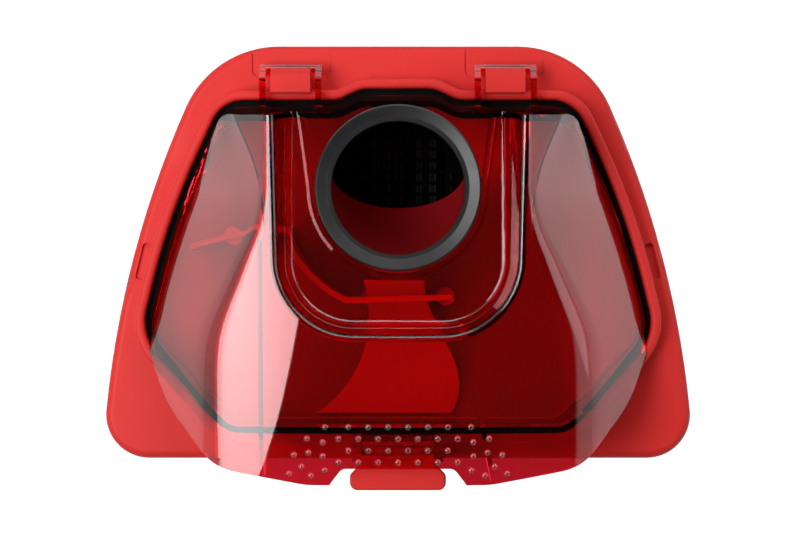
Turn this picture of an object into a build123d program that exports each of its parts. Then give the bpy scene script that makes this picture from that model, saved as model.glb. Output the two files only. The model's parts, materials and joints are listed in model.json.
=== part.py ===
"""Cyclone dust bin with a hinged clear cover, lying on its back plate.

Millimetres. +Z points out of the front, +Y towards the hinges, +X to the right.
The origin is in the middle of the outline, on the plane that the skirt rests on.
"""

import math
import os

from build123d import *

os.makedirs("parts", exist_ok=True)

# Back plate
plate_width = 210.0
plate_top_width = 130.0
plate_height = 146.3
plate_top_y = 77.0
plate_depth = 20.0
plate_wall = 2.6
plate_side_radius = 350.0
plate_top_corner = 36.0
plate_bottom_corner = 15.5
plate_edge_round = 3.0

# Bin outline where the cover wall stands on the gasket
bin_width = 177.0
bin_top_width = 121.0
bin_top_inset = 21.8
bin_bottom_inset = 12.0
bin_shoulder_y = -25.3
bin_side_bow = 4.2
bin_side_round = 250.0
bin_side_bulge = 3.2
bin_bottom_width = 115.0
bin_top_corner = 10.0
bin_shoulder_corner = 16.0
bin_bottom_corner = 10.0
hump_width = 41.0
hump_flat = 25.0
hump_rise = 4.0
hump_round = 10.0
bin_flare_round = 120.0
side_run_out = 5.0
run_out_corner = 3.0

# Rim, gasket channel and recessed floor of the back plate
rim_height = 8.0
rim_thickness = 3.5
rim_gap = 2.2
rim_round = 1.4
gasket_height = 3.0
gasket_width = 4.3
floor_recess = 4.0

# Slots in the plate beside the rim
slot_width = 3.0
slot_length = 13.0
slot_y = 0.5
slot_inset = 2.25
slot_depth = 1.3

# Clear front cover
cover_wall = 2.2
crest_height = 61.0
crest_slope = 6.0
crest_radius = 280.0
crest_top_inset = 29.0
upright_lean = 6.5
flange_step = 1.8
# Creases between front and sides: drop below the hinge edge of the bin, half width, round
creases = [
    (-11.0, 44.9, 2.5),
    (36.0, 45.2, 3.0),
    (56.0, 49.4, 4.0),
    (72.0, 55.2, 5.5),
    (88.0, 58.8, 7.5),
    (114.0, 61.2, 10.0),
    (144.0, 62.4, 12.0),
]
bowl_width = 74.0
bowl_bottom_y = -20.8
bowl_corner = 22.0
bowl_depth = 24.0
bowl_draft = 12.0
bowl_round = 2.5
bowl_rim_round = 1.6

# Round inlet
inlet_bore = 45.0
inlet_y = 25.2
pedestal_width = 62.0
pedestal_flare_width = 76.0
pedestal_rise = 6.5
pedestal_draft = 10.0
collar_wall = 2.0

# Grip ledge at the lower edge of the cover
ledge_reach = 5.4
ledge_flat_width = 62.0
ledge_corner_width = 125.0
ledge_corner_rise = 5.6
ledge_side_width = 161.0
ledge_side_rise = 26.7
ledge_side_gap = 1.0
ledge_side_round = 40.0
ledge_corner_round = 22.0
ledge_front_round = 30.0
notch_width = 37.6
notch_mouth_width = 46.2
notch_depth = 5.6
notch_corner = 3.0

# Ribs under the front of the cover, from start to end as seen from the front
cover_rib_depth = 8.0
right_rib = ((21.8, -21.8), (32.2, -73.7))
left_rib = ((-46.0, 8.0), (-46.0, -73.7))

# Hinges: clear loops on the cover round hooked lugs on the plate
hinge_spacing = 75.4
hinge_inset = 9.1
hinge_rise = 5.6
hinge_bar = 4.0
loop_width = 21.8
loop_arm = 2.2
loop_height = 4.0
arm_knee = 5.0
arm_shoulder = 3.0
lug_width = 14.0
lug_length = 8.2
lug_lip = 0.6
lug_rise = 4.9
lug_corner = 2.4
hinge_pad_width = 28.0
hinge_pad_depth = 0.6

# Latch at the lower edge
latch_width = 25.0
latch_tab_width = 32.5
latch_stem = 3.0
latch_inset = 2.8
latch_rise = 13.0
latch_tab_rise = 38.0
latch_tab_thickness = 2.6
latch_reach = 7.7
latch_pin = 2.4
latch_nib_rise = 29.0
latch_nib_reach = 1.8
tab_root_round = 2.0
tab_tip_round = 2.6
catch_drop = 2.1
catch_lip = 1.8
catch_height = 3.9
latch_ear = 3.0
spring_width = 4.2
spring_wire = 0.6
spring_turns = 4
spring_seat = 2.2
spring_pocket = 1.4

# Inlet seal and scoop
seal_face_width = 56.0
seal_rise = 4.5
seal_sleeve = 3.0
seal_dish = 1.0
scoop_wall = 1.4
scoop_step = 0.75
scoop_bend = 14.0
scoop_turn = 58.0
scoop_rise = 7.0

# Exhaust window, screen and filter cassette
window_bore = 48.0
window_y = 26.5
screen_lip = 3.0
screen_thickness = 1.2
filter_width = 84.0
filter_height = 50.0
filter_frame_wall = 3.0
filter_depth = 9.6
filter_pleats = 14
filter_sheet = 1.0
filter_seal_height = 2.8
box_wall = 2.0
rib_wall = 1.6
rib_foot = 6.0
rib_spacing = 62.0
mesh_pitch = 4.0
mesh_hole = 2.8

# Cyclone guide inside the bin
guide_radius = 42.0
guide_wall = 2.0
guide_rise = 33.0
guide_floor_y = -11.8
guide_arc_start = 198.0
guide_arc_turn = 47.0
guide_run = 37.4
shelf_rise = 14.0
shelf_middle = (-57.0, 9.4)
shelf_tip = (-72.0, 5.2)
ramp_rise = 30.0
ramp_wall = 2.2
ramp_sag_share = 0.4
ramp_sag_rise = 12.6
ramp_toe_gap = 1.5
ramp_head_left = -12.0
ramp_head_right = 9.2
ramp_toe_left = -29.0
ramp_toe_right = 19.0
ramp_left = [(-10.9, -26.0), (-15.0, -38.0)]
ramp_right = [(15.8, -25.6), (21.4, -40.0)]
boss_rise = 11.0
screw_shank = 2.4
screw_head = 5.6
screw_head_height = 1.8
screw_depth = 9.0
screw_boss = 6.4

# Grip dots on the ledge
dot_ball = 2.6
dot_rise = 0.55
dot_pitch = 6.65
dot_row = 3.95
dot_rows = 4
dot_start_row = 5
dots_each_side = 3
# Loose dots beside the rows: offset from the middle, and rows below the first row
side_dots = [
    (24.4, 0.0),
    (25.2, 1.3),
    (30.5, 1.0),
    (25.2, 2.5),
    (30.0, 2.2),
    (34.9, 2.4),
    (24.6, 3.7),
    (32.4, 3.4),
    (36.6, 4.0),
    (29.2, 4.15),
]

# Fits
seal_gap = 0.2
slide_gap = 0.3
pivot_gap = 0.06
seat_gap = 0.1
press_gap = 0.03
visor_gap = 0.6
arm_gap = 0.9
tail_gap = 1.2

# Derived places
plate_bottom_y = plate_top_y - plate_height
bin_top_y = plate_top_y - bin_top_inset
bin_bottom_y = plate_bottom_y + bin_bottom_inset
ledge_y = plate_bottom_y - ledge_reach
front_z = plate_depth
floor_z = front_z - floor_recess
gasket_top = front_z + gasket_height
cover_base = gasket_top + seal_gap
rim_top = front_z + rim_height
crest_z = front_z + crest_height
crest_top_y = plate_top_y - crest_top_inset
bowl_floor = crest_z - bowl_depth
pedestal_top = bowl_floor + pedestal_rise
past_end_y = plate_bottom_y - plate_bottom_corner
tall = crest_z + plate_depth
upright_height = crest_z - cover_base + 2 * cover_wall
upright_way = (0, -math.sin(math.radians(upright_lean)), math.cos(math.radians(upright_lean)))
slope = math.radians(crest_slope)
rim_outer = rim_gap + rim_thickness
visor_z = rim_top + visor_gap
hinge_y = plate_top_y - hinge_inset
hinge_z = front_z + hinge_rise
latch_y = plate_bottom_y + latch_inset
latch_z = front_z + latch_rise
latch_tip_y = plate_bottom_y - latch_reach
rim_bottom_y = bin_bottom_y - rim_outer
rear_floor = floor_z - plate_wall
collar_top = pedestal_top + seal_rise / 2
seal_top = pedestal_top + seal_rise
seal_foot = pedestal_top - seal_sleeve


def mirrored(points):
    """The right-hand points followed by their mirror images, as one closed loop."""
    return points + [(-x, y) for x, y in reversed(points)]


def both_ways(rounds):
    """Corner rounds for a mirrored loop."""
    return rounds + rounds[::-1]


def bow_point(start, end, bow):
    """The corner point that bends a straight run outwards by the given bow."""
    run = Vector(*end) - Vector(*start)
    outward = Vector(-run.Y, run.X).normalized()
    middle = (Vector(*start) + Vector(*end)) * 0.5 + outward * bow
    return (middle.X, middle.Y)


def outline(points, rounds, height, grow=0.0):
    """A face inside a rounded loop of points, at a height, grown or shrunk all round."""
    with BuildSketch(Plane.XY.offset(height)) as face:
        with BuildLine():
            FilletPolyline(*points, radius=rounds, close=True)
        make_face()
        if grow:
            offset(amount=grow)
    return face.sketch


def front_height(x, y):
    """Height of the cover's front face above a point."""
    arch = crest_radius - math.sqrt(crest_radius**2 - x**2)
    return crest_z - (crest_top_y - y) * math.tan(slope) - arch / math.cos(slope)


def side_half(y):
    """Half width of the bin at a place along it, as a parabola through its corners."""
    run = (top_corner[1] - y) / (top_corner[1] - shoulder[1])
    straight = top_corner[0] + (shoulder[0] - top_corner[0]) * run
    return straight + 4 * bin_side_bulge * run * (1 - run)


def cover_section(drop, crease, crease_round, inset):
    """Cross-section of the cover: leaning sides, round creases, arched front, inset by a wall."""
    y = bin_top_y - drop
    foot = Vector(side_half(y) + flange_step, cover_base)
    edge = Vector(crease, front_height(crease, y))
    lean = (foot - edge).normalized()
    side_normal = Vector(-lean.Y, lean.X)
    front_normal = Vector(crease, crest_radius).normalized()
    edge = edge - (side_normal + front_normal) * (inset / (1 + side_normal.dot(front_normal)))
    foot = edge + lean * ((cover_base - inset - edge.Y) / lean.Y)
    with BuildSketch(Plane.XZ.offset(-y)) as face:
        with BuildLine():
            Polyline((-edge.X, edge.Y), (-foot.X, foot.Y), (foot.X, foot.Y), (edge.X, edge.Y))
            ThreePointArc((edge.X, edge.Y), (0, front_height(0, y) - inset), (-edge.X, edge.Y))
        make_face()
        fillet(face.vertices().group_by(Axis.Y)[-1], crease_round - inset / 2)
    return face.sketch


def upright_face(inset):
    """Face between the cover's upright walls, at its base."""
    return outline(base_points, base_rounds, cover_base, -inset)


def plate_outline(height, grow=0.0):
    """The back plate's outline: a trapezoid with bowed sides and round corners."""
    top = plate_top_width / 2
    low = plate_width / 2
    with BuildSketch(Plane.XY.offset(height)) as face:
        with BuildLine():
            Line((-top, plate_top_y), (top, plate_top_y))
            RadiusArc((top, plate_top_y), (low, plate_bottom_y), plate_side_radius)
            Line((low, plate_bottom_y), (-low, plate_bottom_y))
            RadiusArc((-low, plate_bottom_y), (-top, plate_top_y), plate_side_radius)
        make_face()
        fillet(face.vertices().group_by(Axis.Y)[-1], plate_top_corner)
        fillet(face.vertices().group_by(Axis.Y)[0], plate_bottom_corner)
        if grow:
            offset(amount=grow)
    return face.sketch


def bin_outline(height, grow=0.0):
    """The bin's outline, where the cover wall stands, grown or shrunk all round."""
    return outline(bin_points, bin_rounds, height, grow)


def across(x, *points):
    """A face in a plane across X, inside a loop of points given as (y, z)."""
    with BuildSketch(Plane.YZ.offset(x)) as face:
        Polygon(*points, align=None)
    return face.sketch


def disc_across(x, y, z, radius):
    """A round face in a plane across X."""
    with BuildSketch(Plane.YZ.offset(x)) as face:
        with Locations((y, z)):
            Circle(radius)
    return face.sketch


def round_frame(height, y, width, length, wall):
    """A rectangular frame with round corners, seen from the front."""
    with BuildSketch(Plane.XY.offset(height)) as face:
        with Locations((0, y)):
            RectangleRounded(width, length, wall)
            Rectangle(width - 2 * wall, length - 2 * wall, mode=Mode.SUBTRACT)
    return face.sketch


def bowl_outline(height, grow=0.0):
    """The U-shaped outline of the bowl round the inlet, open towards the hinges."""
    half = bowl_width / 2
    points = mirrored([(half, plate_top_y), (half, bowl_bottom_y)])
    return outline(points, both_ways([0, bowl_corner]), height, grow)


def on_bowl_rim(edge):
    """Whether an edge of the cover's block runs along the upper edge of the bowl."""
    middle = edge.center()
    reach = bowl_depth / 3
    beside = abs(middle.X) < bowl_width / 2 + reach
    along = bowl_bottom_y - reach < middle.Y < crest_top_y - bowl_round
    return beside and along and middle.Z > pedestal_top + bowl_round


def pedestal_outline(height, grow=0.0):
    """The seat round the inlet, which flares towards the hinges."""
    half = pedestal_width / 2
    flare = pedestal_flare_width / 2
    with BuildSketch(Plane.XY.offset(height)) as face:
        with Locations((0, inlet_y)):
            Circle(half)
        Polygon(*mirrored([(half, inlet_y), (flare, plate_top_y)]), align=None)
        if grow:
            offset(amount=grow)
    return face.sketch


top_corner = (bin_top_width / 2, bin_top_y)
shoulder = (bin_width / 2, bin_shoulder_y)
side_knee = bow_point(top_corner, shoulder, bin_side_bow)
hump_points = [(hump_flat / 2, bin_top_y + hump_rise), (hump_width / 2, bin_top_y)]
bin_points = mirrored(
    hump_points + [top_corner, side_knee, shoulder, (bin_bottom_width / 2, bin_bottom_y)]
)
bin_rounds = both_ways(
    [hump_round, hump_round, bin_top_corner, bin_side_round, bin_shoulder_corner, bin_bottom_corner]
)

# Upright faces of the cover, which run on past the lower end
base_points = mirrored(
    hump_points + [top_corner, side_knee, shoulder, (bin_width / 2 + side_run_out, past_end_y)]
)
base_rounds = both_ways(
    [hump_round, hump_round, bin_top_corner, bin_side_round, bin_flare_round, run_out_corner]
)
# Lower edge of the cover, seen from the front
ledge_points = mirrored(
    [
        (bin_width / 2 + ledge_side_gap, plate_top_y),
        (bin_width / 2 + ledge_side_gap, bin_shoulder_y),
        (ledge_side_width / 2, ledge_y + ledge_side_rise),
        (ledge_corner_width / 2, ledge_y + ledge_corner_rise),
        (ledge_flat_width / 2, ledge_y),
    ]
)
ledge_rounds = both_ways([0, 0, ledge_side_round, ledge_corner_round, ledge_front_round])
notch_points = [
    (-notch_mouth_width / 2, ledge_y - notch_depth),
    (-notch_mouth_width / 2, ledge_y),
    (-notch_width / 2, ledge_y + notch_depth),
    (notch_width / 2, ledge_y + notch_depth),
    (notch_mouth_width / 2, ledge_y),
    (notch_mouth_width / 2, ledge_y - notch_depth),
]
notch_rounds = [0, notch_corner, notch_corner, notch_corner, notch_corner, 0]

# Grip dots: staggered rows over the notch, and a few down each side of it
dot_top_y = ledge_y + dot_start_row * dot_row
dot_places = []
for row in range(dot_rows):
    dots_across = 2 * dots_each_side + row % 2
    dot_left = -dot_pitch * (dots_across - 1) / 2
    for step in range(dots_across):
        dot_places.append((dot_left + step * dot_pitch, dot_top_y - row * dot_row))
for x, rows in side_dots:
    dot_places += [(x, dot_top_y - rows * dot_row), (-x, dot_top_y - rows * dot_row)]
dot_sink = dot_ball / 2 - dot_rise

# Inlet: collar on the cover, sleeve of the scoop and section of the seal
on_floor = (Align.CENTER, Align.CENTER, Align.MIN)
scoop_inner = inlet_bore / 2 + scoop_step
collar_radius = scoop_inner + scoop_wall
collar_foot = bowl_floor - scoop_rise
seal_outer = seal_face_width / 2
seal_chamfer = seal_rise / 3
seal_points = [
    (inlet_bore / 2, seal_foot),
    (collar_radius - seat_gap, seal_foot),
    (collar_radius - seat_gap, collar_top + seat_gap),
    (collar_radius + collar_wall + seat_gap, collar_top + seat_gap),
    (collar_radius + collar_wall + seat_gap, pedestal_top + seat_gap),
    (seal_outer, pedestal_top + seat_gap),
    (seal_outer, seal_top - seal_chamfer / 3),
    (seal_outer - seal_chamfer / 3, seal_top),
    (inlet_bore / 2 + seal_chamfer, seal_top - seal_dish),
    (inlet_bore / 2, seal_top - seal_dish - seal_chamfer),
]

# Hinge: side view of a loop's arm and of a lug
arm_low = rim_top + arm_gap
arm_eye = hinge_bar / 2
arm_points = [
    (bin_top_y - cover_wall, arm_low),
    (hinge_y - arm_knee, arm_low),
    (hinge_y - arm_eye, hinge_z),
    (hinge_y, hinge_z - arm_eye),
    (hinge_y + arm_eye, hinge_z),
    (hinge_y + arm_eye / 2, hinge_z + arm_eye),
    (hinge_y - arm_shoulder, arm_low + loop_height - arm_eye / 2),
    (bin_top_y - cover_wall, arm_low + loop_height),
]
lug_points = [
    (hinge_y - lug_length, front_z - plate_wall / 2),
    (hinge_y + lug_lip, front_z - plate_wall / 2),
    (hinge_y + lug_lip, hinge_z + lug_rise - lug_corner),
    (hinge_y + lug_lip - lug_corner, hinge_z + lug_rise),
    (hinge_y - lug_length, hinge_z + lug_rise),
]
pad_length = hinge_inset + hinge_bar / 2

# Latch: side views, with y and z
stem_inner = latch_y + latch_stem / 2
stem_outer = latch_y - latch_stem / 2
tab_z = front_z + latch_tab_rise
tab_edge = latch_tab_thickness / 3
spring_z = front_z + rim_height / 2 + slide_gap
stem_points = [
    (stem_outer, front_z + tail_gap),
    (stem_inner, front_z + tail_gap),
    (stem_inner, tab_z + latch_tab_thickness / 2),
    (stem_outer, tab_z + latch_tab_thickness / 2),
]
tab_flare = (latch_tab_width - latch_width) / 2
tab_points = mirrored(
    [
        (latch_width / 2, stem_inner),
        (latch_width / 2, stem_outer),
        (latch_tab_width / 2, stem_outer - tab_flare),
        (latch_tab_width / 2, latch_tip_y),
    ]
)
tab_rounds = both_ways([0, tab_root_round, tab_root_round, tab_tip_round])
nib_width = latch_width - 2 * latch_stem
nib_z = front_z + latch_nib_rise
nib_tip = stem_inner + latch_nib_reach
catch_tip = nib_tip + slide_gap
catch_top = nib_z - catch_drop
catch_points = [
    (bin_bottom_y + cover_wall / 2, catch_top - catch_height),
    (catch_tip, catch_top - catch_lip),
    (catch_tip, catch_top),
    (bin_bottom_y + cover_wall / 2, catch_top),
]
nib_points = [
    (stem_inner - latch_stem / 2, nib_z - latch_stem / 3),
    (nib_tip, nib_z),
    (nib_tip, nib_z + latch_stem / 5),
    (stem_inner - latch_stem / 2, nib_z + latch_stem),
]
ear_offset = latch_width / 2 + slide_gap
ear_points = [
    (rim_bottom_y + rim_thickness / 2, front_z - plate_wall / 2),
    (stem_outer - latch_stem / 3, front_z - plate_wall / 2),
    (latch_y - latch_stem, latch_z),
    (latch_y + latch_stem, latch_z),
    (rim_bottom_y + rim_thickness / 2, rim_top - rim_round),
]
spring_start = stem_inner - spring_pocket + spring_wire / 2 + seat_gap
spring_run = rim_bottom_y + spring_seat - spring_wire / 2 - seat_gap - spring_start

# Places of the slots beside the rim
side_lean = (shoulder[0] - side_knee[0]) / (side_knee[1] - shoulder[1])
slot_tilt = math.degrees(math.atan(side_lean))
slot_x = side_knee[0] + (side_knee[1] - slot_y) * side_lean + rim_outer + slot_inset

# Recessed floor, exhaust window and filter cassette
channel_in = rim_gap - gasket_width - 2 * slide_gap
screen_radius = window_bore / 2 + screen_lip
box_width = filter_width + 2 * slide_gap + 2 * box_wall
box_height = filter_height + 2 * slide_gap + 2 * box_wall
frame_foot = rear_floor - seat_gap - filter_depth
box_foot = frame_foot - filter_seal_height / 3
seal_low = frame_foot - filter_seal_height
mesh_reach = window_bore / 2 - mesh_hole
mesh_steps = int(mesh_reach / mesh_pitch)
mesh_line = [step * mesh_pitch for step in range(-mesh_steps, mesh_steps + 1)]
mesh_places = [(x, y) for x in mesh_line for y in mesh_line if math.hypot(x, y) < mesh_reach]
pleat_width = filter_width - 2 * filter_frame_wall - 2 * seat_gap
pleat_length = filter_height - 2 * filter_frame_wall - 2 * seat_gap
pleat_step = pleat_width / (2 * filter_pleats)
pleat_high = frame_foot + filter_depth - filter_sheet
pleat_low = frame_foot + filter_sheet
pleat_line = [
    (-pleat_width / 2 + i * pleat_step, pleat_high if i % 2 else pleat_low)
    for i in range(2 * filter_pleats + 1)
]
pleat_points = [(x, z + filter_sheet) for x, z in pleat_line]
pleat_points += [(x, z - filter_sheet) for x, z in reversed(pleat_line)]

# Guide: ramp outline from the front, ramp line from the side, and screw places
ramp_top_y = inlet_y - pedestal_width / 2
ramp_toe_y = bin_bottom_y - channel_in + ramp_toe_gap
ramp_head = (ramp_top_y, floor_z + ramp_rise)
ramp_middle = (ramp_top_y + ramp_sag_share * (ramp_toe_y - ramp_top_y), floor_z + ramp_sag_rise)
ramp_toe = (ramp_toe_y, floor_z + ramp_wall)
ramp_heel = (ramp_toe_y, floor_z)
under_head = (ramp_head[0] - ramp_wall / 2, ramp_head[1] - ramp_wall)
under_middle = (ramp_middle[0] - ramp_wall / 2, ramp_middle[1] - ramp_wall)
ramp_left_edge = [(ramp_head_left, ramp_top_y)] + ramp_left + [(ramp_toe_left, ramp_toe_y)]
ramp_right_edge = [(ramp_head_right, ramp_top_y)] + ramp_right + [(ramp_toe_right, ramp_toe_y)]
screw_places = [
    shelf_middle,
    (-guide_run / 4, guide_floor_y),
    (guide_run / 2 - guide_wall, guide_floor_y),
]

# Bowl round the inlet: what is cut from the cover, and the same grown by one wall
with BuildPart() as bowl:
    extrude(bowl_outline(bowl_floor), amount=tall - bowl_floor, taper=-bowl_draft)
    fillet(bowl.edges().group_by(Axis.Z)[0], bowl_round)
    extrude(
        pedestal_outline(bowl_floor),
        amount=pedestal_rise,
        taper=pedestal_draft,
        mode=Mode.SUBTRACT,
    )

skin_floor = bowl_floor - cover_wall
with BuildPart() as bowl_skin:
    extrude(bowl_outline(skin_floor, cover_wall), amount=tall - skin_floor, taper=-bowl_draft)
    fillet(bowl_skin.edges().group_by(Axis.Z)[0], bowl_round + cover_wall)
    extrude(
        pedestal_outline(skin_floor, -cover_wall),
        amount=pedestal_rise,
        taper=pedestal_draft,
        mode=Mode.SUBTRACT,
    )

# Full block of the cover, and the hollow inside it
with BuildPart() as cover_block:
    loft([cover_section(*crease, 0) for crease in creases])
    extrude(upright_face(0), amount=upright_height, dir=upright_way, mode=Mode.INTERSECT)
    add(bowl.part, mode=Mode.SUBTRACT)
    fillet(cover_block.edges().filter_by(on_bowl_rim), bowl_rim_round)

with BuildPart() as cover_hollow:
    loft([cover_section(*crease, cover_wall) for crease in creases])
    extrude(upright_face(cover_wall), amount=upright_height, dir=upright_way, mode=Mode.INTERSECT)
    add(bowl_skin.part, mode=Mode.SUBTRACT)

# Upright walls under the front: the lower wall of the bin and two stiffening ribs
with BuildPart() as cover_walls:
    extrude(bin_outline(cover_base), amount=tall)
    extrude(bin_outline(cover_base, -cover_wall), amount=tall, mode=Mode.SUBTRACT)
    for start, end in (left_rib, right_rib):
        with BuildSketch(Plane.XY.offset(skin_floor - cover_rib_depth)) as rib:
            with BuildLine():
                Line(start, end)
            trace(line_width=rib_wall)
        extrude(amount=tall)
    add(cover_block.part, mode=Mode.INTERSECT)

# What lies outside the bin below the visor, where the rim passes
with BuildPart() as under_visor:
    extrude(plate_outline(0, plate_wall), amount=visor_z)
    extrude(bin_outline(0), amount=visor_z, mode=Mode.SUBTRACT)

with BuildPart() as front_cover:
    add(cover_block.part)
    add(cover_hollow.part, mode=Mode.SUBTRACT)
    add(cover_walls.part)
    extrude(outline(ledge_points, ledge_rounds, 0), amount=tall, mode=Mode.INTERSECT)
    extrude(outline(notch_points, notch_rounds, 0), amount=tall, mode=Mode.SUBTRACT)
    add(under_visor.part, mode=Mode.SUBTRACT)
    # Collar of the inlet
    with Locations((0, inlet_y, collar_foot)):
        Cylinder(collar_radius + collar_wall, collar_top - collar_foot, align=on_floor)
        Cylinder(collar_radius, tall, align=on_floor, mode=Mode.SUBTRACT)
    # Hinge loops
    for side in (-1, 1):
        loop_left = side * hinge_spacing / 2 - loop_width / 2
        for arm_x in (loop_left, loop_left + loop_width - loop_arm):
            extrude(across(arm_x, *arm_points), amount=loop_arm)
            extrude(disc_across(arm_x, hinge_y, hinge_z, hinge_bar / 2), amount=loop_arm)
        extrude(disc_across(loop_left, hinge_y, hinge_z, hinge_bar / 2), amount=loop_width)
    # Ledge that the latch nib snaps over
    extrude(across(-latch_width / 2, *catch_points), amount=latch_width)
    # Grip dots
    with Locations(*[(x, y, front_height(x, y) - dot_sink) for x, y in dot_places]):
        Sphere(dot_ball / 2)

front_cover.part.label = "front_cover"
export_step(front_cover.part, "parts/front_cover.step")

# Back plate: skirted tray, rim, recessed floor, filter box, lugs and latch ears
with BuildPart() as rear_ribs:
    with BuildSketch(Plane.XY.offset(rib_foot)):
        with Locations((-rib_spacing / 2, 0), (rib_spacing / 2, 0)):
            Rectangle(rib_wall, 2 * plate_height)
        with Locations((0, window_y)):
            Rectangle(2 * plate_width, rib_wall)
    extrude(amount=front_z - rib_foot - plate_wall / 2)
    extrude(plate_outline(0, -plate_wall / 2), amount=front_z, mode=Mode.INTERSECT)
    with Locations((0, window_y, 0)):
        Box(box_width, box_height, front_z, align=on_floor, mode=Mode.SUBTRACT)

with BuildPart() as back_plate:
    extrude(plate_outline(0), amount=plate_depth)
    fillet(back_plate.edges().group_by(Axis.Z)[-1], plate_edge_round)
    extrude(plate_outline(0, -plate_wall), amount=plate_depth - plate_wall, mode=Mode.SUBTRACT)
    add(rear_ribs.part)
    # Shallow pads under the hinge loops
    for side in (-1, 1):
        with BuildSketch(Plane.XY.offset(front_z)) as pad:
            with Locations((side * hinge_spacing / 2, plate_top_y)):
                RectangleRounded(hinge_pad_width, 2 * pad_length, lug_corner)
        extrude(amount=-hinge_pad_depth, mode=Mode.SUBTRACT)
    # Rim round the bin
    extrude(bin_outline(front_z - plate_wall / 2, rim_outer), amount=rim_height + plate_wall / 2)
    extrude(bin_outline(front_z, rim_gap), amount=rim_height, mode=Mode.SUBTRACT)
    fillet(back_plate.edges().group_by(Axis.Z)[-1], rim_round)
    # Recessed floor
    extrude(bin_outline(rear_floor, channel_in + plate_wall), amount=floor_recess + plate_wall / 2)
    extrude(bin_outline(floor_z, channel_in), amount=rim_height, mode=Mode.SUBTRACT)
    # Box for the filter, round exhaust window and the seat of its screen
    extrude(
        round_frame(box_foot, window_y, box_width, box_height, box_wall),
        amount=floor_z - box_foot - plate_wall / 2,
    )
    with Locations((0, window_y, floor_z)):
        Cylinder(window_bore / 2, 4 * plate_wall, mode=Mode.SUBTRACT)
        Cylinder(screen_radius, 2 * screen_thickness, mode=Mode.SUBTRACT)
    # Screw holes of the guide
    with Locations(*[(x, y, 0) for x, y in screw_places]):
        Cylinder(screw_shank / 2 + slide_gap, tall, mode=Mode.SUBTRACT)
    # Slots beside the rim
    for side in (-1, 1):
        with BuildSketch(Plane.XY.offset(front_z)) as slot:
            with Locations(Location((side * slot_x, slot_y), side * slot_tilt)):
                RectangleRounded(slot_width, slot_length, slot_width / 3)
        extrude(amount=-slot_depth, mode=Mode.SUBTRACT)
    # Hooked hinge lugs
    for side in (-1, 1):
        lug_x = side * hinge_spacing / 2 - lug_width / 2
        extrude(across(lug_x, *lug_points), amount=lug_width)
        extrude(
            disc_across(lug_x, hinge_y, hinge_z, hinge_bar / 2 + pivot_gap),
            amount=lug_width,
            mode=Mode.SUBTRACT,
        )
    # Ears of the latch pin, and the pocket of its spring
    for ear_x in (-ear_offset - latch_ear, ear_offset):
        extrude(across(ear_x, *ear_points), amount=latch_ear)
        extrude(disc_across(ear_x, latch_y, latch_z, latch_stem), amount=latch_ear)
        extrude(
            disc_across(ear_x, latch_y, latch_z, latch_pin / 2 + press_gap),
            amount=latch_ear,
            mode=Mode.SUBTRACT,
        )
    with BuildSketch(Plane.XZ.offset(-rim_bottom_y)) as pocket:
        with Locations((0, spring_z)):
            Circle(spring_width / 2 + slide_gap)
    extrude(amount=-spring_seat, mode=Mode.SUBTRACT)

back_plate.part.label = "back_plate"
export_step(back_plate.part, "parts/back_plate.step")

with BuildPart() as cover_gasket:
    extrude(bin_outline(front_z, rim_gap - seat_gap), amount=gasket_height)
    extrude(
        bin_outline(front_z, rim_gap - seat_gap - gasket_width),
        amount=gasket_height,
        mode=Mode.SUBTRACT,
    )
cover_gasket.part.label = "cover_gasket"
export_step(cover_gasket.part, "parts/cover_gasket.step")

# Rubber ring on the inlet, slipped over the collar
with BuildPart() as inlet_seal:
    with BuildSketch(Plane.XZ) as seal_half:
        Polygon(*seal_points, align=None)
    revolve(axis=Axis.Z)
inlet_seal.part.label = "inlet_seal"
inlet_seal.part.position = (0, inlet_y, 0)
export_step(inlet_seal.part, "parts/inlet_seal.step")

# Scoop behind the inlet: a sleeve in the collar and half a bend that turns the air up
with BuildPart() as inlet_scoop:
    with BuildSketch(Plane.XY.offset(collar_foot)) as sleeve:
        with Locations((0, inlet_y)):
            Circle(collar_radius - seat_gap)
            Circle(scoop_inner, mode=Mode.SUBTRACT)
    extrude(amount=seal_foot - seal_gap - collar_foot)
    with BuildSketch(Plane.XY.offset(collar_foot)) as half_pipe:
        with Locations((0, inlet_y)):
            Circle(collar_radius - seat_gap)
            Circle(scoop_inner, mode=Mode.SUBTRACT)
            Rectangle(
                2 * collar_radius,
                2 * collar_radius,
                align=(Align.CENTER, Align.MIN),
                mode=Mode.SUBTRACT,
            )
    revolve(axis=Axis((0, inlet_y + scoop_bend, collar_foot), (1, 0, 0)), revolution_arc=scoop_turn)
inlet_scoop.part.label = "inlet_scoop"
export_step(inlet_scoop.part, "parts/inlet_scoop.step")

# Guide in the bin: round wall, shelf and flared ramp on three screw bosses
with BuildPart() as ramp_limit:
    with BuildSketch(Plane.YZ.offset(-bin_width / 2)) as ramp_side:
        with BuildLine():
            upper = ThreePointArc(ramp_head, ramp_middle, ramp_toe)
            lower = ThreePointArc(under_head, under_middle, ramp_heel)
            Line(upper @ 0, lower @ 0)
            Line(upper @ 1, lower @ 1)
        make_face()
    extrude(amount=bin_width)

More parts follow.
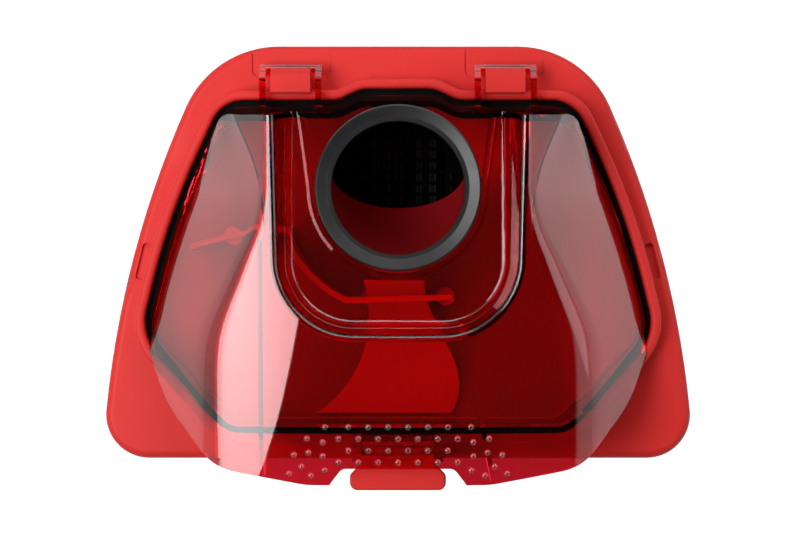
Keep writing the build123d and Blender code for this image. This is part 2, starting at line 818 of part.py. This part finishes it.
with BuildPart() as cyclone_guide:
    with BuildSketch(Plane.XY.offset(floor_z)) as tongue:
        with BuildLine():
            left = Spline(*ramp_left_edge)
            right = Spline(*ramp_right_edge)
            Line(left @ 0, right @ 0)
            Line(left @ 1, right @ 1)
        make_face()
    extrude(amount=tall)
    add(ramp_limit.part, mode=Mode.INTERSECT)
    with BuildSketch(Plane.XY.offset(floor_z)) as walls:
        with BuildLine():
            bend = CenterArc((0, inlet_y), guide_radius, guide_arc_start, guide_arc_turn)
            run = Line(bend @ 1, (guide_run / 2, guide_floor_y))
        trace(line_width=guide_wall)
    extrude(amount=guide_rise)
    with BuildSketch(Plane.XY.offset(floor_z)) as shelf:
        with BuildLine():
            ThreePointArc(bend @ 0, shelf_middle, shelf_tip)
        trace(line_width=guide_wall)
    extrude(amount=shelf_rise)
    with Locations(*[(x, y, floor_z) for x, y in screw_places]):
        Cylinder(screw_boss / 2, boss_rise, align=on_floor)
        Cylinder(
            screw_shank / 2 + press_gap,
            boss_rise - ramp_wall / 2,
            align=on_floor,
            mode=Mode.SUBTRACT,
        )
cyclone_guide.part.label = "cyclone_guide"
export_step(cyclone_guide.part, "parts/cyclone_guide.step")

with BuildPart() as guide_screws:
    with Locations(*[(x, y, rear_floor) for x, y in screw_places]):
        Cylinder(screw_head / 2, screw_head_height, align=(Align.CENTER, Align.CENTER, Align.MAX))
        Cylinder(screw_shank / 2, screw_depth, align=on_floor)
guide_screws.part.label = "guide_screws"
export_step(guide_screws.part, "parts/guide_screws.step")

# Mesh screen over the exhaust window
with BuildPart() as outlet_screen:
    with Locations((0, window_y, floor_z - screen_thickness)):
        Cylinder(screen_radius - seat_gap, screen_thickness, align=on_floor)
    with BuildSketch(Plane.XY.offset(floor_z)) as holes:
        with Locations((0, window_y)):
            with Locations(*mesh_places):
                Rectangle(mesh_hole, mesh_hole)
    extrude(amount=-2 * screen_thickness, mode=Mode.SUBTRACT)
outlet_screen.part.label = "outlet_screen"
export_step(outlet_screen.part, "parts/outlet_screen.step")

# Filter cassette behind the window
with BuildPart() as filter_frame:
    extrude(
        round_frame(frame_foot, window_y, filter_width, filter_height, filter_frame_wall),
        amount=filter_depth,
    )
filter_frame.part.label = "filter_frame"
export_step(filter_frame.part, "parts/filter_frame.step")

with BuildPart() as pleated_filter:
    with BuildSketch(Plane.XZ.offset(-window_y)) as pleats:
        Polygon(*pleat_points, align=None)
    extrude(amount=pleat_length / 2, both=True)
pleated_filter.part.label = "pleated_filter"
export_step(pleated_filter.part, "parts/pleated_filter.step")

with BuildPart() as filter_seal:
    extrude(
        round_frame(seal_low, window_y, filter_width, filter_height, filter_frame_wall),
        amount=filter_seal_height,
    )
filter_seal.part.label = "filter_seal"
export_step(filter_seal.part, "parts/filter_seal.step")

# Latch: a rocking lever with a finger tab, its pin and its spring
with BuildPart() as latch_lever:
    extrude(across(-latch_width / 2, *stem_points), amount=latch_width)
    extrude(disc_across(-latch_width / 2, latch_y, latch_z, latch_stem), amount=latch_width)
    extrude(outline(tab_points, tab_rounds, tab_z), amount=latch_tab_thickness)
    fillet(latch_lever.edges().group_by(Axis.Z)[-1], tab_edge)
    extrude(across(-nib_width / 2, *nib_points), amount=nib_width)
    extrude(
        disc_across(-latch_width / 2, latch_y, latch_z, latch_pin / 2 + pivot_gap),
        amount=latch_width,
        mode=Mode.SUBTRACT,
    )
    with BuildSketch(Plane.XZ.offset(-stem_inner)) as seat:
        with Locations((0, spring_z)):
            Circle(spring_width / 2 + slide_gap)
    extrude(amount=spring_pocket, mode=Mode.SUBTRACT)
latch_lever.part.label = "latch_lever"
export_step(latch_lever.part, "parts/latch_lever.step")

with BuildPart() as latch_pin_rod:
    pin_half = ear_offset + latch_ear
    extrude(disc_across(-pin_half, latch_y, latch_z, latch_pin / 2), amount=2 * pin_half)
latch_pin_rod.part.label = "latch_pin"
export_step(latch_pin_rod.part, "parts/latch_pin.step")

with BuildPart() as latch_spring:
    with BuildLine() as coil:
        Helix(
            pitch=spring_run / spring_turns,
            height=spring_run,
            radius=(spring_width - spring_wire) / 2,
            center=(0, spring_start, spring_z),
            direction=(0, 1, 0),
        )
    with BuildSketch(Plane(origin=coil.line @ 0, z_dir=coil.line % 0)):
        Circle(spring_wire / 2)
    sweep()
latch_spring.part.label = "latch_spring"
export_step(latch_spring.part, "parts/latch_spring.step")
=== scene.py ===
"""Studio picture of a cyclone dust bin: finishes, soft boxes, a white table and a camera above the front."""

import json
import math

import bpy
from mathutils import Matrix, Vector


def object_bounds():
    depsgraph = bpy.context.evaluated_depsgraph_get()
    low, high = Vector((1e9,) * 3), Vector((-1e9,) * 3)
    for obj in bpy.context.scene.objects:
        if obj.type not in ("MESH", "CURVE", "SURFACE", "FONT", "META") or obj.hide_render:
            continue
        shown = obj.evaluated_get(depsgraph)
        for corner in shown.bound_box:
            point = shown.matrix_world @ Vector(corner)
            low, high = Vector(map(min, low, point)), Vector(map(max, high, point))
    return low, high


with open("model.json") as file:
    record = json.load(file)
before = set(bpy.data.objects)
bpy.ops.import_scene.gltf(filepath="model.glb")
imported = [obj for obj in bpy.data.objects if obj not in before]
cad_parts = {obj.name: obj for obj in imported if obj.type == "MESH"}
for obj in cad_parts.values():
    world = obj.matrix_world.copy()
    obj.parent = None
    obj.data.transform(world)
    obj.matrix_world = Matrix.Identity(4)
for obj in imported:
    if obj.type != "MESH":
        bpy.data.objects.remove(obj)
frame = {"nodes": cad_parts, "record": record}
cad_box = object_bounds()

# Camera straight above the front of the bin, in metres and millimetres of lens
camera_place = (0.0007, -0.00125, 0.906)
camera_lens = 112.5
sensor_width = 36.0

# Edges that turn by more than this angle stay sharp, once corners within this distance are joined
true_edge_angle = math.radians(28)
weld_distance = 0.000002

# Front of the clear cover: the radius of its arch, its fall towards the latch, and how well a face has
# to match it
front_radius = 0.28
front_fall = math.radians(6)
front_match = math.cos(math.radians(2.5))

# Creases of the clear cover, shaded as wide rounds. For each row up the cover: its y, how far out the
# round ends, and how wide it is
crease_rows = (
    (-0.051, 0.0700, 0.0120),
    (-0.038, 0.0700, 0.0120),
    (-0.024, 0.0690, 0.0120),
    (-0.011, 0.0620, 0.0100),
    (0.002, 0.0550, 0.0080),
    (0.012, 0.0485, 0.0045),
    (0.025, 0.0449, 0.0024),
)
# Colour value 1 in the ramp of those rows stands for this length
crease_unit = 0.1
# The rounds turn from the front's slope to this one, above this height, and fade between these rows
crease_slope = 1.2
crease_floor = 0.05
crease_fade = (-0.075, -0.066)
# Share of the round from which on faces that are steeper keep their slope
crease_end = 0.999
# How far out the sides of the bowl end
bowl_side = 0.0448

# Sides of the cover near the hinges, shaded no steeper than this: the slope, the rows where that starts
# and the lowest height
steep_slope = 1.7
steep_rows = (0.0, 0.02)
steep_floor = 0.034

# Table: its size, how far it lies below the bin and its tone, then how brightly it glows for the camera,
# in mirrored rays and through clear plastic
table_size = 6.0
table_drop = 0.0004
table_tone = 0.3
camera_glow = 1.0
glossy_glow = 1.15
clear_glow = 0.3

# Round key light: its middle, width, brightness and hot spot, how far it fades and to what share
key_place = (-0.65, 0.035, 0.93)
key_width = 0.9
key_radiance = 10.0
key_hot_spot = (-0.5, -0.17, 0.93)
key_fade = 0.3
key_rim = 0.5

# Soft boxes to the right and beyond the hinges: place, size and brightness, and the point they aim at
side_place = (0.95, 0.1, 0.6)
side_size = (0.5, 0.9)
side_radiance = 1.4
top_place = (0.25, 0.85, 0.85)
top_size = (1.2, 0.6)
top_radiance = 3.0
box_target = (0, 0, 0.03)

# Pale walls: sine of the height where they end and where the dark ceiling starts, then the brightness
# of the walls and of the whole world
wall_top = 0.7
ceiling_start = 0.8
wall_glow = 1.1
world_glow = 0.03

# Floor of the bin, whose red is darkened in its middle by painted shade: its height and the band about it,
# how much of its light is left, and between which distances from the middle the painted shade fades out
floor_height = 0.016
floor_band = 0.0006
floor_shade_tone = 0.6
shade_reach = (0.056, 0.07)

# Colours: the darkest and the lightest tone of each opaque finish, the tint of the clear cover, and white
plate_red = ((0.59, 0.026, 0.023, 1), (0.65, 0.03, 0.027, 1))
# The guide's red is a lighter copy of the plate's red: painted light, for the light its sloping faces catch
lit_guide_red = ((0.86, 0.03, 0.03, 1), (0.92, 0.04, 0.038, 1))
# The scoop's red is a dark copy of the red, in place of its clear slot: painted shade of the bin's inside
# seen through the inlet
shaded_scoop_red = ((0.17, 0.004, 0.006, 1), (0.22, 0.006, 0.008, 1))
rubber_black = ((0.004, 0.004, 0.0045, 1), (0.007, 0.007, 0.0075, 1))
foam_black = ((0.003, 0.003, 0.003, 1), (0.006, 0.006, 0.006, 1))
# Black of the mouldings, partly their own colour and partly painted shade: darker than black plastic so the
# screen seen through the inlet shows as the bin's dark inside
black_and_shade = ((0.001, 0.001, 0.001, 1), (0.002, 0.002, 0.002, 1))
paper_grey = ((0.018, 0.018, 0.019, 1), (0.045, 0.045, 0.047, 1))
steel_grey = ((0.5, 0.5, 0.51, 1), (0.64, 0.64, 0.65, 1))
cover_red = (0.95, 0.016, 0.035, 1)
white = (1, 1, 1, 1)

# Gloss of the black mouldings, none on the screen, so that through the inlet it shows as painted shade
cassette_gloss = 0.2
screen_gloss = 0.0


def feed(tree, socket, value):
    """Links a socket to another one, or sets it to a plain value."""
    if isinstance(value, bpy.types.NodeSocket):
        tree.links.new(value, socket)
    else:
        socket.default_value = value


def maths(tree, operation, *values):
    """Result of a maths node."""
    node = tree.nodes.new("ShaderNodeMath")
    node.operation = operation
    for place, value in enumerate(values):
        feed(tree, node.inputs[place], value)
    return node.outputs[0]


def product(tree, *factors):
    """Several sockets multiplied with one another."""
    result = factors[0]
    for factor in factors[1:]:
        result = maths(tree, "MULTIPLY", result, factor)
    return result


def vector_maths(tree, operation, *values):
    """A vector maths node."""
    node = tree.nodes.new("ShaderNodeVectorMath")
    node.operation = operation
    for place, value in enumerate(values):
        feed(tree, node.inputs[place], value)
    return node


def ramp(tree, value, start, end, low=0.0, high=1.0, shape="SMOOTHSTEP"):
    """Goes from low to high while a value goes from start to end."""
    node = tree.nodes.new("ShaderNodeMapRange")
    node.interpolation_type = shape
    tree.links.new(value, node.inputs["Value"])
    for name, bound in (("From Min", start), ("From Max", end), ("To Min", low), ("To Max", high)):
        feed(tree, node.inputs[name], bound)
    return node.outputs["Result"]


def split(tree, vector):
    """The three parts of a vector."""
    node = tree.nodes.new("ShaderNodeSeparateXYZ")
    tree.links.new(vector, node.inputs[0])
    return node.outputs


def new_material(name, **sockets):
    """A material with one Principled shader whose plain values are set on its own sockets."""
    material = bpy.data.materials.new(name)
    material.use_nodes = True
    shader = material.node_tree.nodes["Principled BSDF"]
    for socket, value in sockets.items():
        shader.inputs[socket.replace("_", " ")].default_value = value
    return material


def noise(material, scale, detail=3.0, stretch=(1, 1, 1)):
    """Noise on object coordinates."""
    tree = material.node_tree
    place = tree.nodes.new("ShaderNodeTexCoord")
    mapping = tree.nodes.new("ShaderNodeMapping")
    mapping.inputs["Scale"].default_value = stretch
    texture = tree.nodes.new("ShaderNodeTexNoise")
    texture.inputs["Scale"].default_value = scale
    texture.inputs["Detail"].default_value = detail
    tree.links.new(place.outputs["Object"], mapping.inputs["Vector"])
    tree.links.new(mapping.outputs["Vector"], texture.inputs["Vector"])
    return texture.outputs["Fac"]


def tone(material, texture, tones):
    """Lets a texture vary the colour between two tones."""
    tree = material.node_tree
    mix = tree.nodes.new("ShaderNodeMix")
    mix.data_type = "RGBA"
    mix.inputs["A"].default_value, mix.inputs["B"].default_value = tones
    tree.links.new(texture, mix.inputs["Factor"])
    tree.links.new(mix.outputs["Result"], tree.nodes["Principled BSDF"].inputs["Base Color"])


def roughness(material, texture, low, high):
    """Lets a texture vary the roughness between two values."""
    tree = material.node_tree
    spread = ramp(tree, texture, 0.0, 1.0, low, high, "LINEAR")
    tree.links.new(spread, tree.nodes["Principled BSDF"].inputs["Roughness"])


def bump(material, texture, strength, depth, edge=0.0):
    """Fine relief from a texture, on top of softened edges."""
    tree = material.node_tree
    relief = tree.nodes.new("ShaderNodeBump")
    relief.inputs["Strength"].default_value = strength
    relief.inputs["Distance"].default_value = depth
    tree.links.new(texture, relief.inputs["Height"])
    if edge:
        soft = tree.nodes.new("ShaderNodeBevel")
        soft.inputs["Radius"].default_value = edge
        tree.links.new(soft.outputs["Normal"], relief.inputs["Normal"])
    tree.links.new(relief.outputs["Normal"], tree.nodes["Principled BSDF"].inputs["Normal"])


def moulded_red(name, tones):
    """Opaque red moulding, slightly uneven in tone and gloss."""
    material = new_material(name, IOR=1.5, Specular_IOR_Level=0.15)
    tone(material, noise(material, scale=18), tones)
    roughness(material, noise(material, scale=60), low=0.4, high=0.5)
    bump(material, noise(material, scale=900), strength=0.05, depth=0.0002, edge=0.0005)
    return material


def shaded_floor_middle(material):
    """Paints shade on the middle of the bin's floor, the only level face at its height."""
    tree = material.node_tree
    here = tree.nodes.new("ShaderNodeTexCoord")
    place = split(tree, here.outputs["Object"])
    upward = split(tree, here.outputs["Normal"])["Z"]
    at_floor = maths(tree, "COMPARE", place["Z"], floor_height, floor_band)
    flat = maths(tree, "MAXIMUM", product(tree, at_floor, upward), 0.0)
    beside = maths(tree, "ABSOLUTE", place["X"])
    toward_middle = ramp(tree, beside, *shade_reach, low=1.0, high=0.0, shape="LINEAR")
    # Painted shade: the floor's red multiplied by the shade tone, fully in the middle and fading towards the
    # sides
    painted_shade = tree.nodes.new("ShaderNodeMix")
    painted_shade.data_type = "RGBA"
    painted_shade.blend_type = "MULTIPLY"
    painted_shade.inputs["B"].default_value = (floor_shade_tone, floor_shade_tone, floor_shade_tone, 1)
    colour = tree.nodes["Principled BSDF"].inputs["Base Color"]
    tree.links.new(product(tree, flat, toward_middle), painted_shade.inputs["Factor"])
    tree.links.new(colour.links[0].from_socket, painted_shade.inputs["A"])
    tree.links.new(painted_shade.outputs["Result"], colour)
    return material


def clear_red():
    """Clear moulding, tinted red all through."""
    material = new_material("clear_red", Base_Color=cover_red, Transmission_Weight=1.0, IOR=1.56)
    roughness(material, noise(material, scale=40), low=0.012, high=0.03)
    bump(material, noise(material, scale=30, detail=1.0), strength=0.012, depth=0.001)
    return material


def crease_limits(tree, y):
    """How far out the round of the crease starts and ends at a row of the cover."""
    first_row = crease_rows[0][0]
    all_rows = crease_rows[-1][0] - first_row
    rows = tree.nodes.new("ShaderNodeValToRGB")
    rows.color_ramp.interpolation = "B_SPLINE"
    stops = rows.color_ramp.elements
    for row, _, _ in crease_rows[1:-1]:
        stops.new((row - first_row) / all_rows)
    for stop, (_, end, width) in zip(stops, crease_rows):
        stop.color = (end / crease_unit, width / crease_unit, 0, 1)
    share_of_rows = maths(tree, "DIVIDE", maths(tree, "SUBTRACT", y, first_row), all_rows)
    tree.links.new(share_of_rows, rows.inputs["Fac"])
    values = tree.nodes.new("ShaderNodeSeparateColor")
    tree.links.new(rows.outputs["Color"], values.inputs[0])
    round_end = maths(tree, "MULTIPLY", values.outputs["Red"], crease_unit)
    round_width = maths(tree, "MULTIPLY", values.outputs["Green"], crease_unit)
    return maths(tree, "SUBTRACT", round_end, round_width), round_end


def soft_creases(material):
    """Shades the clear cover with wide creases and less steep sides, by turning its normals."""
    tree = material.node_tree
    here = tree.nodes.new("ShaderNodeTexCoord")
    place = split(tree, here.outputs["Object"])
    facing = split(tree, here.outputs["Normal"])
    beside = maths(tree, "ABSOLUTE", place["X"])
    beyond_bowl = maths(tree, "GREATER_THAN", beside, bowl_side)
    above_floor = maths(tree, "GREATER_THAN", place["Z"], crease_floor)
    slope = maths(tree, "ABSOLUTE", maths(tree, "DIVIDE", facing["X"], facing["Z"]))

    # Slope that the round should have here, between the arch of the front and the side
    in_round = ramp(tree, beside, *crease_limits(tree, place["Y"]))
    share = product(tree, in_round, ramp(tree, place["Y"], *crease_fade), above_floor)
    arch = maths(tree, "DIVIDE", beside, front_radius * math.cos(front_fall))
    wanted = maths(tree, "MULTIPLY_ADD", share, maths(tree, "SUBTRACT", crease_slope, arch), arch)
    change = maths(tree, "SUBTRACT", wanted, slope)

    # Faces flatter than that are turned out; steeper ones are turned in up to the end of the round
    before_end = maths(tree, "LESS_THAN", share, crease_end)
    above_ledge = maths(tree, "GREATER_THAN", place["Y"], crease_fade[1])
    inside = product(tree, before_end, beyond_bowl, above_floor, above_ledge)
    touched = maths(tree, "GREATER_THAN", share, 0.0)
    outward = product(tree, maths(tree, "MAXIMUM", change, 0.0), touched)
    inward = product(tree, maths(tree, "MINIMUM", change, 0.0), inside)

    # Sides near the hinges that are steeper than the limit are turned back to it
    too_steep = maths(tree, "MAXIMUM", maths(tree, "SUBTRACT", slope, steep_slope), 0.0)
    above_foot = maths(tree, "GREATER_THAN", place["Z"], steep_floor)
    steep = product(tree, too_steep, ramp(tree, place["Y"], *steep_rows), above_foot, beyond_bowl)

    # Across, the normal turns by the change of slope; along the bin, to the fall of the front
    lean = maths(tree, "SUBTRACT", maths(tree, "ADD", outward, inward), steep)
    sideways = product(tree, lean, maths(tree, "SIGN", place["X"]), facing["Z"])
    fall = maths(tree, "MULTIPLY", facing["Z"], -math.tan(front_fall))
    rest_of_share = maths(tree, "SUBTRACT", 1.0, share)
    along = product(tree, maths(tree, "SUBTRACT", fall, facing["Y"]), inside, rest_of_share)
    turn = tree.nodes.new("ShaderNodeCombineXYZ")
    tree.links.new(sideways, turn.inputs["X"])
    tree.links.new(along, turn.inputs["Y"])
    turned = vector_maths(tree, "ADD", here.outputs["Normal"], turn.outputs[0])
    in_world = tree.nodes.new("ShaderNodeVectorTransform")
    in_world.vector_type = "NORMAL"
    in_world.convert_from = "OBJECT"
    in_world.convert_to = "WORLD"
    tree.links.new(turned.outputs[0], in_world.inputs[0])
    normal = vector_maths(tree, "NORMALIZE", in_world.outputs[0])
    tree.links.new(normal.outputs[0], tree.nodes["Bump"].inputs["Normal"])
    return material


def soft_rubber():
    """Black rubber with a dull bloom."""
    material = new_material("soft_rubber", IOR=1.45)
    tone(material, noise(material, scale=120), rubber_black)
    roughness(material, noise(material, scale=200), low=0.3, high=0.42)
    bump(material, noise(material, scale=2500), strength=0.12, depth=0.0002, edge=0.0004)
    return material


def foam_rubber():
    """Black foam of the cover's gasket, almost without gloss."""
    material = new_material("foam_rubber", IOR=1.4, Specular_IOR_Level=0.1)
    tone(material, noise(material, scale=150), foam_black)
    roughness(material, noise(material, scale=300), low=0.75, high=0.9)
    bump(material, noise(material, scale=3000), strength=0.3, depth=0.0002, edge=0.0004)
    return material


def black_moulding(name, gloss):
    """Dull black moulding of the screen and the cassette, darker than black plastic: painted shade where the
    screen shows through the inlet.
    """
    material = new_material(name, IOR=1.5, Specular_IOR_Level=gloss)
    tone(material, noise(material, scale=30), black_and_shade)
    roughness(material, noise(material, scale=300), low=0.45, high=0.6)
    bump(material, noise(material, scale=1800), strength=0.15, depth=0.0002, edge=0.0003)
    return material


def pleated_paper():
    """Dark carbon filter paper with long fibres."""
    material = new_material("pleated_paper", IOR=1.4)
    fibres = noise(material, scale=300, detail=6.0, stretch=(1, 0.1, 1))
    tone(material, fibres, paper_grey)
    roughness(material, noise(material, scale=90), low=0.8, high=0.95)
    bump(material, fibres, strength=0.3, depth=0.0003)
    return material


def bright_steel():
    """Drawn steel of the pin, the spring and the screws."""
    material = new_material("bright_steel", Metallic=1.0)
    streaks = noise(material, scale=700, detail=4.0, stretch=(0.05, 1, 1))
    tone(material, streaks, steel_grey)
    roughness(material, streaks, low=0.22, high=0.38)
    bump(material, streaks, strength=0.08, depth=0.0001, edge=0.0002)
    return material


def mesh_group(name):
    """An empty node group that takes a mesh and gives one back."""
    group = bpy.data.node_groups.new(name, "GeometryNodeTree")
    group.interface.new_socket("Geometry", in_out="INPUT", socket_type="NodeSocketGeometry")
    group.interface.new_socket("Geometry", in_out="OUTPUT", socket_type="NodeSocketGeometry")
    return group


def true_edges():
    """Node group that joins the CAD facets, shades them smooth and keeps real edges sharp."""
    group = mesh_group("true_edges")
    nodes = group.nodes
    links = group.links
    start = nodes.new("NodeGroupInput")
    plain = nodes.new("GeometryNodeRemoveAttribute")
    plain.inputs["Name"].default_value = "custom_normal"
    weld = nodes.new("GeometryNodeMergeByDistance")
    weld.inputs["Distance"].default_value = weld_distance
    smooth = nodes.new("GeometryNodeSetShadeSmooth")
    smooth.domain = "FACE"
    turn = nodes.new("GeometryNodeInputMeshEdgeAngle")
    wide = nodes.new("FunctionNodeCompare")
    wide.inputs["B"].default_value = true_edge_angle
    sharp = nodes.new("GeometryNodeSetShadeSmooth")
    sharp.domain = "EDGE"
    sharp.inputs["Shade Smooth"].default_value = False
    end = nodes.new("NodeGroupOutput")
    links.new(start.outputs[0], plain.inputs["Geometry"])
    links.new(plain.outputs["Geometry"], weld.inputs["Geometry"])
    links.new(weld.outputs["Geometry"], smooth.inputs["Geometry"])
    links.new(turn.outputs["Unsigned Angle"], wide.inputs["A"])
    links.new(smooth.outputs["Geometry"], sharp.inputs["Geometry"])
    links.new(wide.outputs["Result"], sharp.inputs["Selection"])
    links.new(sharp.outputs["Geometry"], end.inputs[0])
    return group


def front_normals():
    """Node group that gives the cover's front, inside and out, the normals of its true arch."""
    group = mesh_group("front_normals")
    nodes = group.nodes
    links = group.links
    start = nodes.new("NodeGroupInput")
    place = nodes.new("GeometryNodeInputPosition")
    now = nodes.new("GeometryNodeInputNormal")
    whole_face = nodes.new("GeometryNodeFieldOnDomain")
    whole_face.domain = "FACE"
    whole_face.data_type = "FLOAT_VECTOR"
    links.new(now.outputs["True Normal"], whole_face.inputs["Value"])
    sideways = vector_maths(group, "MULTIPLY", place.outputs[0], (1, 0, 0))
    out_of_arch = (0, -front_radius * math.sin(front_fall), front_radius * math.cos(front_fall))
    from_axis = vector_maths(group, "ADD", sideways.outputs[0], out_of_arch)
    arch = vector_maths(group, "NORMALIZE", from_axis.outputs[0]).outputs[0]
    match = vector_maths(group, "DOT_PRODUCT", whole_face.outputs[0], arch).outputs["Value"]
    on_front = nodes.new("FunctionNodeCompare")
    on_front.inputs["B"].default_value = front_match
    links.new(maths(group, "ABSOLUTE", match), on_front.inputs["A"])
    facing = vector_maths(group, "SCALE", arch)
    links.new(maths(group, "SIGN", match), facing.inputs["Scale"])
    choice = nodes.new("GeometryNodeSwitch")
    choice.input_type = "VECTOR"
    links.new(on_front.outputs["Result"], choice.inputs["Switch"])
    links.new(now.outputs["Normal"], choice.inputs["False"])
    links.new(facing.outputs[0], choice.inputs["True"])
    shade = nodes.new("GeometryNodeSetMeshNormal")
    shade.mode = "FREE"
    shade.domain = "CORNER"
    end = nodes.new("NodeGroupOutput")
    links.new(start.outputs[0], shade.inputs["Mesh"])
    links.new(choice.outputs[0], shade.inputs["Custom Normal"])
    links.new(shade.outputs["Mesh"], end.inputs[0])
    return group


def softbox(name, place, target, size, radiance):
    """An area lamp of a given brightness, aimed at a point."""
    lamp = bpy.data.lights.new(name, "AREA")
    lamp.shape = "RECTANGLE"
    lamp.size, lamp.size_y = size
    lamp.energy = math.pi * size[0] * size[1] * radiance
    holder = bpy.data.objects.new(name, lamp)
    holder.location = place
    holder.rotation_euler = (Vector(target) - Vector(place)).to_track_quat("-Z", "Y").to_euler()
    bpy.context.scene.collection.objects.link(holder)
    return lamp


def key_light():
    """A round soft box to the left that fades from its hot spot to its rim."""
    below = (key_place[0], key_place[1], 0)
    lamp = softbox("key_box", key_place, below, (key_width, key_width), key_radiance)
    lamp.shape = "DISK"
    lamp.use_nodes = True
    tree = lamp.node_tree
    place = tree.nodes.new("ShaderNodeNewGeometry")
    away = vector_maths(tree, "DISTANCE", place.outputs["Position"], key_hot_spot).outputs["Value"]
    fade = ramp(tree, away, 0.0, key_fade, low=1.0, high=key_rim)
    tree.links.new(fade, tree.nodes["Emission"].inputs["Strength"])


def mirrored_rays(tree, path):
    """Glossy rays without those through clear plastic, which count as glossy too."""
    glossy = maths(tree, "SUBTRACT", path.outputs["Is Glossy Ray"], path.outputs["Is Transmission Ray"])
    return maths(tree, "MAXIMUM", glossy, 0.0)


def pale_walls():
    """A dim world whose low part shows as pale walls in mirrored rays, under a dark ceiling."""
    world = bpy.data.worlds.new("studio")
    world.use_nodes = True
    tree = world.node_tree
    way = tree.nodes.new("ShaderNodeTexCoord")
    path = tree.nodes.new("ShaderNodeLightPath")
    height = split(tree, way.outputs["Generated"])["Z"]
    wall = ramp(tree, height, wall_top, ceiling_start, low=wall_glow, high=0.0, shape="LINEAR")
    seen = maths(tree, "MULTIPLY_ADD", mirrored_rays(tree, path), wall, world_glow)
    background = tree.nodes["Background"]
    background.inputs["Color"].default_value = white
    tree.links.new(seen, background.inputs["Strength"])
    bpy.context.scene.world = world


def table():
    """A table that glows white for the camera and in mirrored rays, and dimly through clear plastic."""
    bpy.ops.mesh.primitive_plane_add(size=table_size, location=(0, 0, cad_box[0][2] - table_drop))
    plane = bpy.context.object
    plane.name = "table"
    material = bpy.data.materials.new("white_table")
    material.use_nodes = True
    tree = material.node_tree
    tree.nodes.clear()
    matt = tree.nodes.new("ShaderNodeBsdfDiffuse")
    matt.inputs["Color"].default_value = (table_tone, table_tone, table_tone, 1)
    path = tree.nodes.new("ShaderNodeLightPath")
    level = maths(tree, "MULTIPLY", path.outputs["Is Camera Ray"], camera_glow)
    level = maths(tree, "MULTIPLY_ADD", mirrored_rays(tree, path), glossy_glow, level)
    level = maths(tree, "MULTIPLY_ADD", path.outputs["Is Transmission Ray"], clear_glow, level)
    glow = tree.nodes.new("ShaderNodeEmission")
    glow.inputs["Color"].default_value = white
    tree.links.new(level, glow.inputs["Strength"])
    matt_and_glow = tree.nodes.new("ShaderNodeAddShader")
    surface = tree.nodes.new("ShaderNodeOutputMaterial")
    tree.links.new(matt.outputs[0], matt_and_glow.inputs[0])
    tree.links.new(glow.outputs[0], matt_and_glow.inputs[1])
    tree.links.new(matt_and_glow.outputs[0], surface.inputs["Surface"])
    plane.data.materials.append(material)


def overhead_camera():
    """The camera, looking straight down."""
    camera_data = bpy.data.cameras.new("camera")
    camera_data.lens = camera_lens
    camera_data.sensor_width = sensor_width
    camera = bpy.data.objects.new("camera", camera_data)
    camera.location = camera_place
    bpy.context.scene.collection.objects.link(camera)
    bpy.context.scene.camera = camera


# One finish for each material slot of the record, and the pieces that look different from their slot
slot_finishes = {
    # Red plastic, with painted shade on the middle of the bin's floor
    "red_plastic": shaded_floor_middle(moulded_red("moulded_red", plate_red)),
    "clear_red": soft_creases(clear_red()),
    "black_rubber": soft_rubber(),
    "black_plastic": black_moulding("black_moulding", cassette_gloss),
    "filter_paper": pleated_paper(),
    "steel": bright_steel(),
}
own_finishes = {
    # Painted light: the guide in a lighter copy of the red
    "cyclone_guide": moulded_red("lit_guide_red", lit_guide_red),
    # Painted shade: the scoop in a dark opaque red instead of its clear slot
    "inlet_scoop": moulded_red("scoop_shade_red", shaded_scoop_red),
    "cover_gasket": foam_rubber(),
    # Painted shade: the screen dull and near-black where it shows through the inlet
    "outlet_screen": black_moulding("screen_shade_black", screen_gloss),
}

edges = true_edges()
for part in frame["record"]["subparts"]:
    piece = frame["nodes"][part["node"]]
    finish = own_finishes.get(part["node"], slot_finishes[part["material_slot"]])
    piece.data.materials.clear()
    piece.data.materials.append(finish)
    piece.modifiers.new("true_edges", "NODES").node_group = edges
    piece.modifiers.new("even_normals", "WEIGHTED_NORMAL").keep_sharp = True
frame["nodes"]["front_cover"].modifiers.new("front_normals", "NODES").node_group = front_normals()

table()
key_light()
softbox("side_box", side_place, box_target, side_size, side_radiance)
softbox("top_box", top_place, box_target, top_size, top_radiance)
pale_walls()
overhead_camera()
bpy.context.scene.view_settings.view_transform = "Standard"
